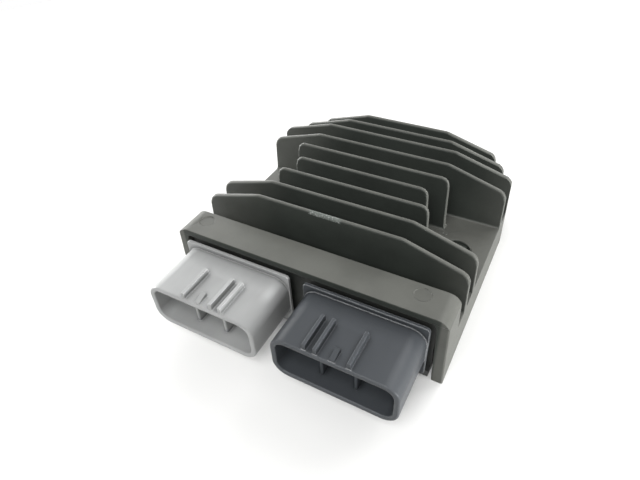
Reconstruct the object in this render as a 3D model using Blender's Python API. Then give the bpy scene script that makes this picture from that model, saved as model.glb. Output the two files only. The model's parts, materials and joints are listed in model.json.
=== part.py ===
"""Voltage regulator rectifier: a finned die-cast heat sink with two three-way sockets.

Units are metres and +Z is up. The unit rests on its open underside. Plan positions are
measured from the front face of the shroud that holds the sockets, and the mount empty
then moves the whole unit so that the origin is at the bottom centre of its box.
"""

import math

import bmesh
import bpy
from mathutils import Matrix, Vector

# Fit between pieces, and how far a cutter runs past the face that it cuts
GAP = 0.0003
OVERSHOOT = 0.002

# Section of a three-way socket, which the plug and its blades set
WAY_COUNT = 3
WAY_PITCH = 0.0118
SOCKET_END_ROOM = 0.0018
SOCKET_WALL = 0.0019
SOCKET_HALF_WIDTH = WAY_COUNT * WAY_PITCH / 2.0 + SOCKET_END_ROOM + SOCKET_WALL
SOCKET_HEIGHT = 0.0177
SOCKET_BOTTOM_Z = 0.0059
SOCKET_TOP_Z = SOCKET_BOTTOM_Z + SOCKET_HEIGHT
SOCKET_RADIUS = 0.0055

# Flange behind each socket, and the length of the socket in front of it
FLANGE_LIP = 0.0004
FLANGE_HALF_WIDTH = SOCKET_HALF_WIDTH + FLANGE_LIP
FLANGE_DROP = 0.0031
FLANGE_BOTTOM_Z = SOCKET_BOTTOM_Z - FLANGE_DROP
FLANGE_RISE = 0.0018
FLANGE_TOP_Z = SOCKET_TOP_Z + FLANGE_RISE
FLANGE_THICKNESS = 0.0012
FLANGE_FRONT_Y = -0.0012
FLANGE_MIDDLE_Y = FLANGE_FRONT_Y + FLANGE_THICKNESS / 2.0
FLANGE_REAR_Y = FLANGE_FRONT_Y + FLANGE_THICKNESS
FLANGE_RADIUS = 0.0015
SOCKET_REACH = 0.0232
SOCKET_FLOOR_THICKNESS = 0.0018
SOCKET_FLOOR_Y = FLANGE_FRONT_Y - SOCKET_FLOOR_THICKNESS
BOSS_LENGTH = 0.0024
BOSS_REAR_Y = FLANGE_REAR_Y + BOSS_LENGTH
BOSS_INSET = 0.0030

# Places of the two sockets, side by side
FLANGE_SPACING = 0.0054
SOCKET_SPACING = 2.0 * FLANGE_HALF_WIDTH + FLANGE_SPACING
SOCKETS_MIDDLE_X = -0.0004
STATOR_X = SOCKETS_MIDDLE_X - SOCKET_SPACING / 2.0
OUTPUT_X = SOCKETS_MIDDLE_X + SOCKET_SPACING / 2.0

# Guide ribs and latch ramp on top of a socket, and the walls between its ways
RIB_WIDTH = 0.0012
RIB_HEIGHT = 0.0024
RIB_LENGTH = 0.0136
LATCH_RIB_X = 0.0055
KEY_RIB_X = 0.0092
LATCH_WIDTH = 0.0019
LATCH_LENGTH = 0.0042
LATCH_FRONT_HEIGHT = 0.0005
LATCH_REAR_HEIGHT = 0.0016
PARTITION_THICKNESS = 0.0012
PARTITION_SETBACK = 0.0044

# Shroud across the front of the casting, around the two flanges
FLANGE_SIDE_GAP = 0.0021
SHROUD_LEG = 0.0036
SHROUD_WALL = 0.0021
SHROUD_HEADROOM = 0.0036
SHROUD_DEPTH = 0.01235
SHROUD_TOP_Z = SOCKET_TOP_Z + SHROUD_HEADROOM + SHROUD_WALL
SHROUD_CORNER_RADIUS = 0.0042
SHROUD_INNER_RADIUS = 0.0025
SHROUD_INNER_DRAFT = math.tan(math.radians(2.8))
EJECTOR_RADIUS = 0.0028
EJECTOR_DEPTH = 0.0002

# Base plate of the heat sink casting, as wide as the two flanges and the shroud's legs
HALF_WIDTH = SOCKET_SPACING / 2.0 + FLANGE_HALF_WIDTH + FLANGE_SIDE_GAP + SHROUD_LEG
PLATE_HEIGHT = 0.01465
REAR_TAPER = 0.0108
REAR_HALF_WIDTH = HALF_WIDTH - REAR_TAPER
REAR_CORNER_RADIUS = 0.003
SHOULDER_RADIUS = 0.009
FRONT_EDGE_RADIUS = 0.0006
WALL_DRAFT = math.tan(math.radians(2.0))
FRONT_DRAFT = math.tan(math.radians(0.5))

# Ejector pin marks on the shroud: side, distance from that side, distance from the front
EJECTOR_MARKS = ((-1.0, 0.0090, 0.0077), (1.0, 0.0121, 0.0080))

# Cooling fins, counted from the front
FIN_COUNT = 9
FIN_PITCH = 0.00956
VALLEY_WIDTH = 0.00835
FIRST_FIN_Y = SHROUD_DEPTH + VALLEY_WIDTH
FIN_TIP_THICKNESS = 0.0015
FIN_DRAFT = math.tan(math.radians(1.6))
FIN_TOP_Z = 0.0374
FIN_SHOULDER = 0.0227
FIN_PEAK_X = HALF_WIDTH - FIN_SHOULDER
FIN_SLOPE = 0.305
FIN_END_RADIUS = 0.0045
FIN_PEAK_RADIUS = 0.006
FIN_END_OVERSIZE = 0.00015
FIN_ROOT_DEPTH = 0.002
FIN_ROOT_RADIUS = 0.0009
FIN_ROOT_STEPS = 3

# The last fins step down and in with the tapered rear
LAST_FULL_FIN = 6
SHOULDER_LEDGE = 0.00144
REAR_LEDGE = 0.00222
SHOULDER_Y = FIRST_FIN_Y + FIN_PITCH * LAST_FULL_FIN + SHOULDER_LEDGE
REAR_Y = FIRST_FIN_Y + FIN_PITCH * (FIN_COUNT - 1) + REAR_LEDGE
REAR_FIN_DROP = 0.00155
REAR_FIN_NARROWING = 0.0047
REAR_FIN_END_STEP = 0.0052

# Short fins between the mounting ears: distance of the left and right end from the sides
SHORT_FINS = {2: (0.0202, 0.0211), 3: (0.0228, 0.0247), 4: (0.0181, 0.0199)}
SHORT_FIN_RADIUS = 0.003
EAR_FINS = (1, 5)

# Mounting ears
BOLT_EDGE_DISTANCE = 0.012
BOLT_OFFSET_Y = -0.00138
BOLT_X = HALF_WIDTH - BOLT_EDGE_DISTANCE
BOLT_Y = FIRST_FIN_Y + FIN_PITCH * sum(EAR_FINS) / 2.0 + BOLT_OFFSET_Y
BOLT_HOLE_RADIUS = 0.0035
COUNTERBORE_RADIUS = 0.0056
COUNTERBORE_DEPTH = 0.0035
CASTING_PIP_OFFSET = (-0.0065, 0.0072)
CASTING_PIP_RADIUS = 0.0007
CASTING_PIP_HEIGHT = 0.0004
CASTING_PIP_SIDES = 12

# Pocket in the underside for the board and the resin
POCKET_CEILING = 0.00405
POCKET_SIDE_WALL = 0.007
POCKET_BOLT_WALL = 0.008
POCKET_BOLT_SETBACK = 0.012
POCKET_REAR_WALL = 0.0064
POCKET_CEILING_Z = PLATE_HEIGHT - POCKET_CEILING
POCKET_WIDE_HALF = HALF_WIDTH - POCKET_SIDE_WALL
POCKET_NARROW_HALF = BOLT_X - POCKET_BOLT_WALL
POCKET_STEP_Y = BOLT_Y - POCKET_BOLT_SETBACK
POCKET_REAR_Y = REAR_Y - POCKET_REAR_WALL
POCKET_RADIUS = 0.003

# Circuit board, bonded under the pocket's ceiling
BOARD_THICKNESS = 0.0013
BOARD_SETBACK = 0.00765
BOARD_FRONT_Y = SHROUD_DEPTH + BOARD_SETBACK
BOARD_REAR_ROOM = 0.005
BOARD_REAR_Y = POCKET_REAR_Y - BOARD_REAR_ROOM
BOARD_EDGE_MARGIN = 0.0015

# Power devices in two rows, and one row of small components behind them
POWER_SIZE = (0.0102, 0.0120, 0.0032)
POWER_EDGE_ROOM = 0.0059
POWER_COLUMN_PITCH = POCKET_NARROW_HALF - BOARD_EDGE_MARGIN - POWER_EDGE_ROOM - POWER_SIZE[0] / 2.0
POWER_FRONT_ROOM = 0.007
POWER_ROW_PITCH = 0.017
REAR_ROW_ROOM = 0.010
REAR_ROW_Y = BOARD_REAR_Y - REAR_ROW_ROOM
CHIP_SIZE = (0.0078, 0.0078, 0.0018)
CHIP_X = -0.0090
CAPACITOR_RADIUS = 0.0030
CAPACITOR_HEIGHT = 0.0052
CAPACITOR_SIDES = 20
CAPACITORS_X = (0.0080, 0.0185)
RESISTOR_SIZE = (0.0034, 0.0018, 0.0007)
RESISTOR_EDGE_ROOM = 0.011
RESISTOR_PITCH = 0.005

# Terminals
BLADE_WIDTH = 0.0063
BLADE_THICKNESS = 0.0008
BLADE_SETBACK = 0.0052
BLADE_Z = SOCKET_BOTTOM_Z + SOCKET_HEIGHT / 2.0
BLADE_TIP_Y = BLADE_SETBACK - SOCKET_REACH
BLADE_TIP_LENGTH = 0.0010
BLADE_TIP_THINNING = 0.0002
TAIL_DROP_Y = 0.0070
TAIL_LAP = 0.005
TAIL_END_Y = BOARD_FRONT_Y + TAIL_LAP

# Potting resin
RESIN_RECESS = 0.0005
RESIN_FRONT_Y = BOSS_REAR_Y + GAP
RESIN_HEADROOM = 0.0032
RESIN_FRONT_TOP_Z = SHROUD_TOP_Z - SHROUD_WALL - RESIN_HEADROOM
SILL_OVERLAP = 0.0006
SILL_TOP_Z = FLANGE_BOTTOM_Z + SILL_OVERLAP
SILL_FRONT_Y = FLANGE_REAR_Y + GAP

ARC_STEPS = 5
ROUND_SIDES = 32


def clear_scene():
    """Remove every object of the open scene."""
    for obj in list(bpy.data.objects):
        bpy.data.objects.remove(obj, do_unlink=True)


def make_collection(name):
    """A collection linked to the scene."""
    collection = bpy.data.collections.new(name)
    bpy.context.scene.collection.children.link(collection)
    return collection


def make_material(name, color, roughness, metallic=0.0):
    """A Principled material."""
    material = bpy.data.materials.new(name)
    material.use_nodes = True
    shader = material.node_tree.nodes["Principled BSDF"]
    shader.inputs["Base Color"].default_value = (*color, 1.0)
    shader.inputs["Roughness"].default_value = roughness
    shader.inputs["Metallic"].default_value = metallic
    return material


def rounded_outline(corners, steps=ARC_STEPS):
    """Points of a closed outline; each corner is (u, v, radius), anticlockwise."""
    points = []
    count = len(corners)
    for index, (u, v, radius) in enumerate(corners):
        corner = Vector((u, v))
        if radius == 0.0:
            points.append(corner)
            continue
        before = Vector(corners[index - 1][:2]) - corner
        after = Vector(corners[(index + 1) % count][:2]) - corner
        before.normalize()
        after.normalize()
        half_angle = before.angle(after) / 2.0
        centre = corner + (before + after).normalized() * (radius / math.sin(half_angle))
        start = corner + before * (radius / math.tan(half_angle)) - centre
        end = corner + after * (radius / math.tan(half_angle)) - centre
        first = math.atan2(start.y, start.x)
        turn = math.atan2(end.y, end.x) - first
        turn = (turn + math.pi) % (2.0 * math.pi) - math.pi
        for step in range(steps + 1):
            angle = first + turn * step / steps
            points.append(centre + Vector((math.cos(angle), math.sin(angle))) * radius)
    return points


def rounded_box_outline(u_min, u_max, v_min, v_max, radius):
    """A rectangle with four equal corner radii."""
    return rounded_outline(
        [(u_min, v_min, radius), (u_max, v_min, radius), (u_max, v_max, radius), (u_min, v_max, radius)]
    )


# The outline's two axes and the direction it is extruded in
PLANES = {
    "XY": Matrix(((1, 0, 0, 0), (0, 1, 0, 0), (0, 0, 1, 0), (0, 0, 0, 1))),
    "XZ": Matrix(((1, 0, 0, 0), (0, 0, -1, 0), (0, 1, 0, 0), (0, 0, 0, 1))),
    "YZ": Matrix(((0, 0, 1, 0), (1, 0, 0, 0), (0, 1, 0, 0), (0, 0, 0, 1))),
}


def extrude_outline(name, points, plane, start, end):
    """A solid made by extruding an outline between two positions along the plane's normal."""
    curve = bpy.data.curves.new(name, "CURVE")
    curve.dimensions = "2D"
    curve.fill_mode = "BOTH"
    curve.extrude = (end - start) / 2.0
    spline = curve.splines.new("POLY")
    spline.points.add(len(points) - 1)
    for target, point in zip(spline.points, points):
        target.co = (point[0], point[1], 0.0, 1.0)
    spline.use_cyclic_u = True
    outline = bpy.data.objects.new(name, curve)
    bpy.context.scene.collection.objects.link(outline)
    bpy.context.view_layer.update()
    evaluated = outline.evaluated_get(bpy.context.evaluated_depsgraph_get())
    mesh = bpy.data.meshes.new_from_object(evaluated)
    bpy.data.objects.remove(outline, do_unlink=True)
    middle = Vector((0.0, 0.0, 0.0))
    middle["XYZ".index({"XY": "Z", "XZ": "Y", "YZ": "X"}[plane])] = (start + end) / 2.0
    mesh.transform(Matrix.Translation(middle) @ PLANES[plane])
    solid = bpy.data.objects.new(name, mesh)
    bpy.context.scene.collection.objects.link(solid)
    close_mesh(solid)
    return solid


def close_mesh(obj):
    """Weld the loose caps of an extruded outline and point its faces outwards."""
    cage = bmesh.new()
    cage.from_mesh(obj.data)
    bmesh.ops.remove_doubles(cage, verts=cage.verts, dist=0.000001)
    bmesh.ops.recalc_face_normals(cage, faces=cage.faces)
    cage.to_mesh(obj.data)
    cage.free()


def make_box(name, low, high):
    """A box between two opposite corners."""
    size = Vector(high) - Vector(low)
    cage = bmesh.new()
    bmesh.ops.create_cube(cage, size=1.0)
    bmesh.ops.scale(cage, verts=cage.verts, vec=size)
    bmesh.ops.translate(cage, verts=cage.verts, vec=(Vector(high) + Vector(low)) / 2.0)
    return mesh_object(name, cage)


def make_cylinder(name, centre, radius, low_z, high_z, sides=ROUND_SIDES):
    """An upright cylinder."""
    cage = bmesh.new()
    bmesh.ops.create_cone(
        cage, cap_ends=True, segments=sides, radius1=radius, radius2=radius, depth=high_z - low_z
    )
    bmesh.ops.translate(cage, verts=cage.verts, vec=(centre[0], centre[1], (low_z + high_z) / 2.0))
    return mesh_object(name, cage)


def mesh_object(name, cage):
    """An object in the scene from a bmesh, which is freed."""
    mesh = bpy.data.meshes.new(name)
    cage.to_mesh(mesh)
    cage.free()
    obj = bpy.data.objects.new(name, mesh)
    bpy.context.scene.collection.objects.link(obj)
    return obj


def combine(target, tool, operation):
    """Apply one Boolean to the target and remove the tool."""
    modifier = target.modifiers.new(operation.title(), "BOOLEAN")
    modifier.operation = operation
    modifier.solver = "EXACT"
    modifier.object = tool
    bpy.context.view_layer.update()
    evaluated = target.evaluated_get(bpy.context.evaluated_depsgraph_get())
    mesh = bpy.data.meshes.new_from_object(evaluated)
    target.modifiers.clear()
    target.data = mesh
    bpy.data.objects.remove(tool, do_unlink=True)


def slope_sides(obj, rate):
    """Lean both end faces inwards with height, as mould draft does."""
    for vertex in obj.data.vertices:
        vertex.co.x -= math.copysign(rate * vertex.co.z, vertex.co.x)


def slope_ends(obj):
    """Lean the casting's front and its tapered rear inwards with height."""
    for vertex in obj.data.vertices:
        rear_share = (vertex.co.y - SHOULDER_Y) / (REAR_Y - SHOULDER_Y)
        if rear_share > 0.0:
            vertex.co.y -= WALL_DRAFT * rear_share * vertex.co.z
        elif vertex.co.y <= FRONT_EDGE_RADIUS:
            vertex.co.y += FRONT_DRAFT * vertex.co.z


def make_envelope():
    """The casting's plan outline, drawn in towards the top by the mould draft."""
    outline = rounded_outline([
        (-HALF_WIDTH, 0.0, FRONT_EDGE_RADIUS),
        (HALF_WIDTH, 0.0, FRONT_EDGE_RADIUS),
        (HALF_WIDTH, SHOULDER_Y, SHOULDER_RADIUS),
        (REAR_HALF_WIDTH, REAR_Y, REAR_CORNER_RADIUS),
        (-REAR_HALF_WIDTH, REAR_Y, REAR_CORNER_RADIUS),
        (-HALF_WIDTH, SHOULDER_Y, SHOULDER_RADIUS),
    ])
    envelope = extrude_outline("envelope", outline, "XY", 0.0, FIN_TOP_Z + OVERSHOOT)
    slope_sides(envelope, WALL_DRAFT)
    slope_ends(envelope)
    return envelope


def full_fin_outline(half_width, peak_x, top_z):
    """A full-width fin seen from the front: flat middle, sloping shoulders, round ends."""
    root_z = PLATE_HEIGHT - FIN_ROOT_DEPTH
    end_z = top_z - FIN_SLOPE * (half_width - peak_x)
    return rounded_outline([
        (-half_width, root_z, 0.0),
        (half_width, root_z, 0.0),
        (half_width, end_z, FIN_END_RADIUS),
        (peak_x, top_z, FIN_PEAK_RADIUS),
        (-peak_x, top_z, FIN_PEAK_RADIUS),
        (-half_width, end_z, FIN_END_RADIUS),
    ])


def flared_outline(left, right, top_z, top_radius):
    """An upright wall seen end on, flared by a fillet where it meets the plate."""
    root_z = PLATE_HEIGHT - FIN_ROOT_DEPTH
    foot = FIN_ROOT_RADIUS * 1.5
    outline = [(left[0] - foot, root_z, 0.0), (right[0] + foot, root_z, 0.0)]
    outline += [(right[0] + foot, PLATE_HEIGHT, 0.0), (right[0], PLATE_HEIGHT, FIN_ROOT_RADIUS)]
    outline += [(right[1], top_z, top_radius), (left[1], top_z, top_radius)]
    outline += [(left[0], PLATE_HEIGHT, FIN_ROOT_RADIUS), (left[0] - foot, PLATE_HEIGHT, 0.0)]
    return rounded_outline(outline, FIN_ROOT_STEPS)


def short_fin_outline(left_inset, right_inset):
    """A short fin seen from the front: rounded top corners, flared feet and draft."""
    left = left_inset - HALF_WIDTH
    right = HALF_WIDTH - right_inset
    draft = WALL_DRAFT * (FIN_TOP_Z - PLATE_HEIGHT)
    return flared_outline((left, left + draft), (right, right - draft), FIN_TOP_Z, SHORT_FIN_RADIUS)


def fin_outline(index):
    """The outline of one fin: the last two step down and in with the tapered rear."""
    if index in SHORT_FINS:
        return short_fin_outline(*SHORT_FINS[index])
    steps_back = max(0, index - LAST_FULL_FIN)
    half_width = HALF_WIDTH + FIN_END_OVERSIZE - REAR_FIN_END_STEP * steps_back
    peak_x = FIN_PEAK_X - REAR_FIN_NARROWING * steps_back
    return full_fin_outline(half_width, peak_x, FIN_TOP_Z - REAR_FIN_DROP * steps_back)


def make_fin(index):
    """One fin: its section along X, flared and thicker at the root, cut to its outline."""
    middle_y = FIRST_FIN_Y + FIN_PITCH * index
    half_tip = FIN_TIP_THICKNESS / 2.0
    half_root = half_tip + FIN_DRAFT * (FIN_TOP_Z - PLATE_HEIGHT)
    front = (middle_y - half_root, middle_y - half_tip)
    rear = (middle_y + half_root, middle_y + half_tip)
    reach = HALF_WIDTH + OVERSHOOT
    section = flared_outline(front, rear, FIN_TOP_Z + OVERSHOOT, 0.0)
    fin = extrude_outline("fin", section, "YZ", -reach, reach)
    outline_start = middle_y - FIN_PITCH / 2.0
    outline = extrude_outline("outline", fin_outline(index), "XZ", outline_start, outline_start + FIN_PITCH)
    if index not in SHORT_FINS:
        slope_sides(outline, WALL_DRAFT)
    combine(fin, outline, "INTERSECT")
    return fin


def make_shroud():
    """The solid block of the front shroud, before the sockets' opening is cut."""
    half = HALF_WIDTH + FIN_END_OVERSIZE
    outline = rounded_outline([
        (-half, -OVERSHOOT, 0.0),
        (half, -OVERSHOOT, 0.0),
        (half, SHROUD_TOP_Z, SHROUD_CORNER_RADIUS),
        (-half, SHROUD_TOP_Z, SHROUD_CORNER_RADIUS),
    ])
    shroud = extrude_outline("shroud", outline, "XZ", -OVERSHOOT, SHROUD_DEPTH)
    slope_sides(shroud, WALL_DRAFT)
    for vertex in shroud.data.vertices:
        if vertex.co.y > 0.0:
            vertex.co.y += WALL_DRAFT * (SHROUD_TOP_Z - vertex.co.z)
    return shroud


def make_shroud_opening():
    """The cutter of the opening that the two sockets stand in."""
    half = HALF_WIDTH - SHROUD_LEG
    outline = rounded_outline([
        (-half, -OVERSHOOT, 0.0),
        (half, -OVERSHOOT, 0.0),
        (half, SHROUD_TOP_Z - SHROUD_WALL, SHROUD_INNER_RADIUS),
        (-half, SHROUD_TOP_Z - SHROUD_WALL, SHROUD_INNER_RADIUS),
    ])
    rear = SHROUD_DEPTH - SHROUD_WALL
    opening = extrude_outline("opening", outline, "XZ", -2.0 * OVERSHOOT, rear)
    slope_sides(opening, SHROUD_INNER_DRAFT)
    return opening


def stepped_outline(front_y, rear_y, margin):
    """The T-shaped plan of the underside pocket, drawn in by a margin."""
    wide = POCKET_WIDE_HALF - margin
    narrow = POCKET_NARROW_HALF - margin
    step = POCKET_STEP_Y - margin
    radius = POCKET_RADIUS
    return rounded_outline([
        (-wide, front_y, 0.0),
        (wide, front_y, 0.0),
        (wide, step, radius),
        (narrow, step, 0.0),
        (narrow, rear_y, radius),
        (-narrow, rear_y, radius),
        (-narrow, step, 0.0),
        (-wide, step, radius),
    ])


def make_pocket():
    """The cutter of the pocket in the underside."""
    outline = stepped_outline(SHROUD_DEPTH - 2.0 * SHROUD_WALL, POCKET_REAR_Y, 0.0)
    return extrude_outline("pocket", outline, "XY", -OVERSHOOT, POCKET_CEILING_Z)


def cut_bolt_hole(casting, side):
    """One mounting hole with its counterbore."""
    centre = (side * BOLT_X, BOLT_Y)
    hole = make_cylinder("hole", centre, BOLT_HOLE_RADIUS, -OVERSHOOT, PLATE_HEIGHT)
    combine(casting, hole, "DIFFERENCE")
    floor_z = PLATE_HEIGHT - COUNTERBORE_DEPTH
    recess = make_cylinder("recess", centre, COUNTERBORE_RADIUS, floor_z, PLATE_HEIGHT + OVERSHOOT)
    combine(casting, recess, "DIFFERENCE")


def make_casting():
    """The heat sink: plate, fins and shroud in one casting, hollow underneath."""
    reach = HALF_WIDTH + OVERSHOOT
    casting = make_box(
        "heat_sink_casting",
        (-reach, -OVERSHOOT, -OVERSHOOT),
        (reach, REAR_Y + OVERSHOOT, PLATE_HEIGHT),
    )
    for index in range(FIN_COUNT):
        combine(casting, make_fin(index), "UNION")
    combine(casting, make_shroud(), "UNION")
    combine(casting, make_envelope(), "INTERSECT")
    combine(casting, make_shroud_opening(), "DIFFERENCE")
    combine(casting, make_pocket(), "DIFFERENCE")
    for side in (-1.0, 1.0):
        cut_bolt_hole(casting, side)
    for side, inset, setback in EJECTOR_MARKS:
        place = (side * (HALF_WIDTH - inset), setback)
        mark_floor = SHROUD_TOP_Z - EJECTOR_DEPTH
        mark = make_cylinder("mark", place, EJECTOR_RADIUS, mark_floor, SHROUD_TOP_Z + OVERSHOOT)
        combine(casting, mark, "DIFFERENCE")
    pip_place = (BOLT_X + CASTING_PIP_OFFSET[0], BOLT_Y + CASTING_PIP_OFFSET[1])
    pip_low = PLATE_HEIGHT - CASTING_PIP_HEIGHT
    pip_high = PLATE_HEIGHT + CASTING_PIP_HEIGHT
    pip = make_cylinder("pip", pip_place, CASTING_PIP_RADIUS, pip_low, pip_high, CASTING_PIP_SIDES)
    combine(casting, pip, "UNION")
    return casting


def make_rib(centre_x):
    """One guide rib along the top of a socket."""
    front = -SOCKET_REACH
    low = (centre_x - RIB_WIDTH / 2.0, front, SOCKET_TOP_Z - SOCKET_WALL / 2.0)
    high = (centre_x + RIB_WIDTH / 2.0, front + RIB_LENGTH, SOCKET_TOP_Z + RIB_HEIGHT)
    return make_box("rib", low, high)


def make_latch_ramp(centre_x):
    """The ramp that the plug's latch rides up and catches behind."""
    front = -SOCKET_REACH + GAP
    outline = [
        (front, SOCKET_TOP_Z - SOCKET_WALL / 2.0),
        (front + LATCH_LENGTH, SOCKET_TOP_Z - SOCKET_WALL / 2.0),
        (front + LATCH_LENGTH, SOCKET_TOP_Z + LATCH_REAR_HEIGHT),
        (front, SOCKET_TOP_Z + LATCH_FRONT_HEIGHT),
    ]
    half = LATCH_WIDTH / 2.0
    return extrude_outline("latch", outline, "YZ", centre_x - half, centre_x + half)


def socket_section(name, centre_x, inset, start, end):
    """A slice of the socket's rounded section, drawn in by an inset."""
    outline = rounded_box_outline(
        centre_x - SOCKET_HALF_WIDTH + inset,
        centre_x + SOCKET_HALF_WIDTH - inset,
        SOCKET_BOTTOM_Z + inset,
        SOCKET_TOP_Z - inset,
        SOCKET_RADIUS - inset,
    )
    return extrude_outline(name, outline, "XZ", start, end)


def make_flange(centre_x):
    """The flat flange that closes the shroud around the socket."""
    outline = rounded_box_outline(
        centre_x - FLANGE_HALF_WIDTH,
        centre_x + FLANGE_HALF_WIDTH,
        FLANGE_BOTTOM_Z,
        FLANGE_TOP_Z,
        FLANGE_RADIUS,
    )
    return extrude_outline("flange", outline, "XZ", FLANGE_FRONT_Y, FLANGE_REAR_Y)


def make_partition(centre_x):
    """A wall between two ways of a socket."""
    half = PARTITION_THICKNESS / 2.0
    bite = SOCKET_WALL / 2.0
    front = -SOCKET_REACH + PARTITION_SETBACK
    rear = SOCKET_FLOOR_Y + bite
    low = (centre_x - half, front, SOCKET_BOTTOM_Z + bite)
    high = (centre_x + half, rear, SOCKET_TOP_Z - bite)
    return make_box("partition", low, high)


def make_socket(name, centre_x, key_side):
    """A three-way socket; the key rib stands outside the latch ribs on one side."""
    socket = socket_section(name, centre_x, 0.0, -SOCKET_REACH, FLANGE_MIDDLE_Y)
    combine(socket, make_flange(centre_x), "UNION")
    boss = socket_section("boss", centre_x, BOSS_INSET, FLANGE_MIDDLE_Y, BOSS_REAR_Y)
    combine(socket, boss, "UNION")
    for offset in (-LATCH_RIB_X, LATCH_RIB_X, key_side * KEY_RIB_X):
        combine(socket, make_rib(centre_x + offset), "UNION")
    combine(socket, make_latch_ramp(centre_x), "UNION")
    mouth_start = -SOCKET_REACH - OVERSHOOT
    mouth = socket_section("mouth", centre_x, SOCKET_WALL, mouth_start, SOCKET_FLOOR_Y)
    combine(socket, mouth, "DIFFERENCE")
    for way in range(1, WAY_COUNT):
        partition_x = centre_x + way_offset(way) - WAY_PITCH / 2.0
        combine(socket, make_partition(partition_x), "UNION")
    for way in range(WAY_COUNT):
        combine(socket, make_terminal_room(centre_x + way_offset(way)), "DIFFERENCE")
    return socket


def way_offset(way):
    """Sideways place of one of the ways in a socket."""
    return (way - (WAY_COUNT - 1) / 2.0) * WAY_PITCH


def foot_z():
    """Height of the terminal tails, just under the board."""
    return board_bottom_z() - GAP - BLADE_THICKNESS / 2.0


def board_bottom_z():
    """Underside of the board, which hangs under the pocket's ceiling."""
    return POCKET_CEILING_Z - GAP - BOARD_THICKNESS


def terminal_outline(clearance, tip_thinning):
    """Side view of a terminal: blade, drop and tail, grown by a clearance."""
    half = BLADE_THICKNESS / 2.0 + clearance
    tip_half = half - tip_thinning
    tip = BLADE_TIP_Y - clearance
    taper_end = BLADE_TIP_Y + BLADE_TIP_LENGTH
    end = TAIL_END_Y + clearance
    foot = foot_z()
    return [
        (tip, BLADE_Z - tip_half),
        (taper_end, BLADE_Z - half),
        (TAIL_DROP_Y - half, BLADE_Z - half),
        (TAIL_DROP_Y - half, foot - half),
        (end, foot - half),
        (end, foot + half),
        (TAIL_DROP_Y + half, foot + half),
        (TAIL_DROP_Y + half, BLADE_Z + half),
        (taper_end, BLADE_Z + half),
        (tip, BLADE_Z + tip_half),
    ]


def make_terminal(name, centre_x):
    """One flat terminal, bent down to the board behind the socket."""
    half = BLADE_WIDTH / 2.0
    outline = terminal_outline(0.0, BLADE_TIP_THINNING)
    return extrude_outline(name, outline, "YZ", centre_x - half, centre_x + half)


def make_terminal_room(centre_x):
    """The room that a terminal takes in the socket and in the resin."""
    half = BLADE_WIDTH / 2.0 + GAP
    return extrude_outline("room", terminal_outline(GAP, 0.0), "YZ", centre_x - half, centre_x + half)


def make_board():
    """The metal-backed circuit board."""
    outline = stepped_outline(BOARD_FRONT_Y, BOARD_REAR_Y, BOARD_EDGE_MARGIN)
    low = board_bottom_z()
    return extrude_outline("circuit_board", outline, "XY", low, low + BOARD_THICKNESS)


def hanging_box(name, centre, size, clearance=0.0):
    """A box that hangs just under the board, grown by a clearance."""
    top = board_bottom_z() - GAP + 2.0 * clearance
    half_x = size[0] / 2.0 + clearance
    half_y = size[1] / 2.0 + clearance
    bottom = board_bottom_z() - GAP - size[2] - clearance
    low = (centre[0] - half_x, centre[1] - half_y, bottom)
    high = (centre[0] + half_x, centre[1] + half_y, top)
    return make_box(name, low, high)


def hanging_can(name, centre, clearance=0.0):
    """A round capacitor that hangs just under the board, grown by a clearance."""
    top = board_bottom_z() - GAP + 2.0 * clearance
    bottom = board_bottom_z() - GAP - CAPACITOR_HEIGHT - clearance
    return make_cylinder(name, centre, CAPACITOR_RADIUS + clearance, bottom, top, CAPACITOR_SIDES)


def component_list():
    """Name, place and size of each rectangular component under the board."""
    parts = []
    for row in range(2):
        for column in (-1, 0, 1):
            x = column * POWER_COLUMN_PITCH
            y = POCKET_STEP_Y + POWER_FRONT_ROOM + row * POWER_ROW_PITCH
            parts.append((f"power_device_{len(parts) + 1}", (x, y), POWER_SIZE))
    parts.append(("control_chip", (CHIP_X, REAR_ROW_Y), CHIP_SIZE))
    resistor_x = RESISTOR_EDGE_ROOM - POCKET_NARROW_HALF
    for number in (1, 2, 3):
        y = REAR_ROW_Y + (number - 2) * RESISTOR_PITCH
        parts.append((f"sense_resistor_{number}", (resistor_x, y), RESISTOR_SIZE))
    return parts


def make_resin():
    """The potting resin, with open room for the board, its components and the terminals.

    A dam fills the shroud behind the sockets, and a low sill closes the gap under the flanges.
    """
    top = POCKET_CEILING_Z - GAP
    rear = POCKET_REAR_Y - GAP
    plan = stepped_outline(RESIN_FRONT_Y, rear, GAP)
    resin = extrude_outline("potting_resin", plan, "XY", RESIN_RECESS, top)
    half = HALF_WIDTH - SHROUD_LEG - SHROUD_INNER_DRAFT * RESIN_FRONT_TOP_Z - GAP
    dam_rear = SHROUD_DEPTH - SHROUD_WALL - GAP
    dam = make_box("dam", (-half, RESIN_FRONT_Y, RESIN_RECESS), (half, dam_rear, RESIN_FRONT_TOP_Z))
    combine(resin, dam, "UNION")
    sill = make_box("sill", (-half, SILL_FRONT_Y, RESIN_RECESS), (half, dam_rear, SILL_TOP_Z))
    combine(resin, sill, "UNION")
    board_plan = stepped_outline(BOARD_FRONT_Y - GAP, BOARD_REAR_Y + GAP, BOARD_EDGE_MARGIN - GAP)
    room = extrude_outline("room", board_plan, "XY", board_bottom_z() - GAP, top + GAP)
    combine(resin, room, "DIFFERENCE")
    for _, place, size in component_list():
        combine(resin, hanging_box("room", place, size, GAP), "DIFFERENCE")
    for x in CAPACITORS_X:
        combine(resin, hanging_can("room", (x, REAR_ROW_Y), GAP), "DIFFERENCE")
    for centre_x in (STATOR_X, OUTPUT_X):
        for way in range(WAY_COUNT):
            combine(resin, make_terminal_room(centre_x + way_offset(way)), "DIFFERENCE")
    return resin


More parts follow.
